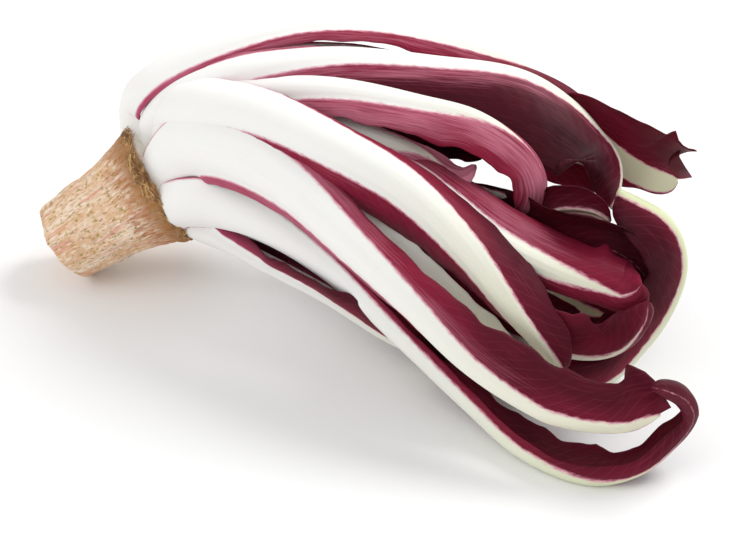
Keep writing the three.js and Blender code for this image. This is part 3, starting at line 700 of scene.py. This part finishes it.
def leaf_mesh(leaf, seed):
    """One leaf as a closed mesh: left wing, rib and right wing, with an outer and inner skin."""
    chance = np.random.default_rng(seed)
    steps, fine = LEAF_STEPS, FINE_STEPS
    if leaf["hidden"]:
        steps, fine = HIDDEN_STEPS, HIDDEN_FINE_STEPS
    share, place, out, side, length = leaf_frames(leaf, steps, fine)
    along = np.cross(out, side)
    u = share[:, None]
    half = rib_half(leaf, u)
    left, right = [wing(leaf, way, u, length, half, seed, chance) for way in (-1, 1)]
    rib = rib_between(u, length, half, seed)
    field = {key: np.hstack([left[key][:, ::-1], rib[key], right[key]]) for key in rib}
    above, below = field["above"], field["below"]
    into_tip = np.clip(u - ROUND_FROM, 0, 1) / ROUND_OVER
    round_tip = np.sqrt(np.clip(1 - into_tip**2, 0.02, 1))

    def skin(depth):
        sideways = field["across"] * round_tip + np.sin(field["face"]) * depth
        outwards = field["drop"] + np.cos(field["face"]) * depth
        return (place[:, None] + sideways[..., None] * side[:, None]
                + outwards[..., None] * out[:, None]
                + field["ahead"][..., None] * along[:, None])

    rings = np.concatenate([skin(above + field["lift"]),
                            skin(field["lift"] - below)[:, ::-1]], 1)
    lowest = np.concatenate([0 * above, (above + below)[:, ::-1]], 1) + LEAF_CLEARS_FLOOR
    rings[..., 2] = np.maximum(rings[..., 2], lowest)
    mesh = grid_mesh(leaf["name"], rings)
    paint(mesh, leaf, u, length, half, field, seed)
    return mesh


def paint(mesh, leaf, u, length, half, field, seed):
    """Writes what the skin reads: the pattern's map, and where the red, rose (with painted sheen)
    and darkness (with painted shade) come.
    """
    flat, from_rib = field["flat"], field["from_rib"]

    def both(values):  # for the outer skin, and for the inner one, which runs back
        values = values + 0 * flat
        return np.concatenate([values, values[:, ::-1]], 1)

    # how far past the white a point is, in mm: the red starts further in towards the tip
    ends = leaf["white_ends"]
    edge_of_white = 0.35 - (half + 0.8) * smooth(ends - 0.3, ends, u)**2
    edge_of_white = edge_of_white + np.interp(u, *zip(*leaf["white_foot"])) * (flat < 0)
    edge_of_white += leaf["white_spill"] * smooth(0.3, 0.8, u)
    past_white = both(from_rib - edge_of_white)
    past_white[:, flat.shape[1]:] += leaf["red_inside"] * (1 - smooth(0.3, 0.5, u))
    # The rose next to the rib is partly the blade's own colour and partly a painted sheen where
    # the soft light catches it.
    rosy_and_sheen, width, rose_ends = leaf["rose"]
    rose = rosy_and_sheen * (1 - smooth(0.6 * width, 1.5 * width, from_rib))
    rose = rose * (1 - smooth(rose_ends - 0.45, rose_ends, u))

    set_uv(mesh, both(flat), both(u * length) + PATTERN_STEP * seed)
    for name, values in [("past_white", past_white), ("share", both(u)), ("rose", both(rose)),
                         ("darkness_and_shade", both(leaf["darkness_and_shade"])), ("green", both(leaf["green"]))]:
        set_points(mesh, name, values)


def leaf_skin():
    """White to ivory rib, a feathered rose edge, and a satin crimson to maroon blade, with painted
    sheen and painted shade.
    """
    material, new = start_material("leaf_skin")

    def painted(name):
        return new("ShaderNodeAttribute", attribute_name=name).outputs["Fac"]

    def times(a, b):
        return math_node(new, "MULTIPLY", a, b)

    def plus(a, b):
        return math_node(new, "ADD", a, b)

    def side_veins():
        """Fine veins that leave the rib at a slant and fade out towards the blade's edge."""
        uv = new("ShaderNodeUVMap", uv_map="surface")
        parts = new("ShaderNodeSeparateXYZ", {"Vector": uv.outputs[0]}).outputs
        aside = math_node(new, "ABSOLUTE", parts["X"])
        run = math_node(new, "SUBTRACT", parts["Y"], times(aside, FINE_VEIN_SLANT))
        turn = plus(times(run, 2 * math.pi / FINE_VEIN_EVERY), times(cloud, 9.0))
        line = ramp(new, math_node(new, "COSINE", turn), 0.8, 1.0)
        return times(line, ramp(new, past_white, 14.0, 2.0))

    past_white, share = painted("past_white"), painted("share")
    darkness_and_shade, green, rosy_and_sheen = painted("darkness_and_shade"), painted("green"), painted("rose")
    feather = streaks(new, 1300, 330, 3, 0.6)
    tongue = streaks(new, 160, 35, 2, 0.5, (4, 2, 0))
    fine = streaks(new, 2200, 45, 3, 0.6, (1, 5, 0))
    cloud = streaks(new, 60, 24, 3, 0.5, (6, 3, 0))

    # the red comes in over the white by fine teeth, longer towards the tip
    teeth = plus(times(plus(feather, -0.5), 2.6), times(plus(tongue, -0.5), 0.5))
    reach = plus(past_white, times(teeth, plus(times(share, 0.45), 0.2)))

    # the rib: whiter at the foot, ivory and green towards the tip, with faint lines
    white, tip_ivory = (0.92, 0.91, 0.885, 1), (0.84, 0.81, 0.66, 1)
    leaf_green, line_green = (0.60, 0.66, 0.34, 1), (0.74, 0.74, 0.60, 1)
    ivory = mix_colour(new, ramp(new, share, 0.55, 1.0), white, tip_ivory)
    ivory = mix_colour(new, times(ramp(new, share, 0.3, 0.9), green), ivory, leaf_green)
    ivory = mix_colour(new, times(ramp(new, fine, 0.5, 0.75), 0.10), ivory, line_green)

    # the blade: rose at the foot, then crimson, and darker away from the rib and to the tip.
    # The darkening away from the rib, where the blade folds in, and on the leaves inside the head
    # is partly painted shade.
    pale_rose_and_sheen, rose = (0.66, 0.22, 0.31, 1), (0.42, 0.055, 0.12, 1)
    crimson, maroon = (0.24, 0.012, 0.038, 1), (0.065, 0.004, 0.012, 1)
    near_black, line_red = (0.012, 0.001, 0.003, 1), (0.42, 0.06, 0.11, 1)
    vein_red, edge_pink = (0.42, 0.12, 0.17, 1), (0.72, 0.32, 0.40, 1)
    red = mix_colour(new, ramp(new, share, 0.1, 0.5), rose, crimson)
    outward = plus(times(ramp(new, past_white, 0.5, 11.0), 0.65), 0.35)
    gloom = plus(times(ramp(new, share, 0.4, 1.0), 0.45), times(darkness_and_shade, outward))
    gloom = plus(gloom, times(plus(cloud, -0.5), 1.0))
    red = mix_colour(new, ramp(new, gloom, 0.05, 1.0), red, maroon)
    # Near black is painted shade, for the hollows inside the head and under the front leaf.
    red = mix_colour(new, ramp(new, gloom, 1.0, 1.9), red, near_black)
    # Painted sheen: a streaky pale rose flush next to the rib, partly the blade's own colour.
    flush = plus(times(plus(cloud, -0.5), 1.8), times(plus(fine, -0.5), 2.0))
    flush = times(ramp(new, plus(flush, times(rosy_and_sheen, 0.9)), 0.1, 1.2), rosy_and_sheen)
    red = mix_colour(new, flush, red, pale_rose_and_sheen)
    red = mix_colour(new, times(ramp(new, fine, 0.52, 0.7), 0.12), red, line_red)
    red = mix_colour(new, times(side_veins(), 0.06), red, vein_red)

    pink = mix_colour(new, ramp(new, reach, -0.5, 0.35), ivory, edge_pink)
    colour = mix_colour(new, ramp(new, reach, 0.0, 0.8), pink, red)
    relief = plus(times(fine, 0.6), times(feather, 0.4))
    bump = new("ShaderNodeBump", {"Height": relief, "Strength": 0.2, "Distance": 0.0004})
    shine = new("ShaderNodeMapRange", {"Value": cloud, "From Min": 0.3, "From Max": 0.7,
                                       "To Min": 0.42, "To Max": 0.56})
    skin = new("ShaderNodeBsdfPrincipled", {
        "Base Color": colour, "Roughness": shine.outputs[0], "Normal": bump.outputs[0],
        "Specular IOR Level": 0.1, "Subsurface Weight": 0.08, "Subsurface Scale": 1.0,
        "Subsurface Radius": (0.004, 0.002, 0.002)})
    new("ShaderNodeOutputMaterial", {"Surface": skin.outputs[0]})
    return material


skin_of_leaf = leaf_skin()
for number, row in enumerate(LEAVES):
    leaf = {**USUAL, **row, **SKINS.get(row["name"], {})}
    mesh = leaf_mesh(leaf, number + 1)
    mesh.materials.append(skin_of_leaf)
    piece = add(mesh, f"leaf_{leaf['name']}")
    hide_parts(f"leaf_{leaf['name']}_rib", f"leaf_{leaf['name']}_blade")


# ------------------------------------------------------------------ floor, light and camera
# A seamless white table, a broad soft light from behind and above with a weaker one from the
# front, and white all round.  The camera looks down on the head from its front side.

FLOOR_HALF = 3.0
ROOM_LIGHT = 0.72
CAMERA_DISTANCE = 0.594
CAMERA_WAY = Vector((0.4096, -0.7094, 0.5736))  # from the head to the camera
TARGET_HEIGHT = 0.035

floor_mesh = bpy.data.meshes.new("floor")
corners = [(-FLOOR_HALF, -FLOOR_HALF, 0), (FLOOR_HALF, -FLOOR_HALF, 0),
           (FLOOR_HALF, FLOOR_HALF, 0), (-FLOOR_HALF, FLOOR_HALF, 0)]
floor_mesh.from_pydata(corners, [], [(0, 1, 2, 3)])
floor = bpy.data.objects.new("floor", floor_mesh)
bpy.context.scene.collection.objects.link(floor)
paper = bpy.data.materials.new("white_paper")
paper.use_nodes = True
paper_skin = paper.node_tree.nodes["Principled BSDF"]
paper_skin.inputs["Base Color"].default_value = (0.92, 0.92, 0.92, 1)
paper_skin.inputs["Roughness"].default_value = 0.7
floor_mesh.materials.append(paper)

world = bpy.data.worlds.new("white_room")
world.use_nodes = True
world.node_tree.nodes["Background"].inputs["Color"].default_value = (1, 1, 1, 1)
world.node_tree.nodes["Background"].inputs["Strength"].default_value = ROOM_LIGHT
bpy.context.scene.world = world


def softbox(name, place, target, width, watts):
    lamp = bpy.data.lights.new(name, "AREA")
    lamp.shape = "DISK"
    lamp.size = width
    lamp.energy = watts
    holder = bpy.data.objects.new(name, lamp)
    holder.location = place
    aim = np.array(target) - np.array(place)
    holder.rotation_euler = Vector(aim).to_track_quat("-Z", "Y").to_euler()
    bpy.context.scene.collection.objects.link(holder)


softbox("key", (0.45, 0.75, 1.1), (0, 0, 0), 0.7, 11)
softbox("fill", (-0.6, -0.9, 0.9), (0, 0, 0.03), 1.0, 4)

lens = bpy.data.cameras.new("camera")
lens.lens = 85
lens.sensor_width = 36
camera = bpy.data.objects.new("camera", lens)
target = Vector(HEAD_SHIFT * MM) + Vector((0, 0, TARGET_HEIGHT))
camera.location = target + CAMERA_DISTANCE * CAMERA_WAY
camera.rotation_euler = (-CAMERA_WAY).to_track_quat("-Z", "Y").to_euler()
bpy.context.scene.collection.objects.link(camera)
bpy.context.scene.camera = camera
bpy.context.scene.view_settings.view_transform = "Standard"
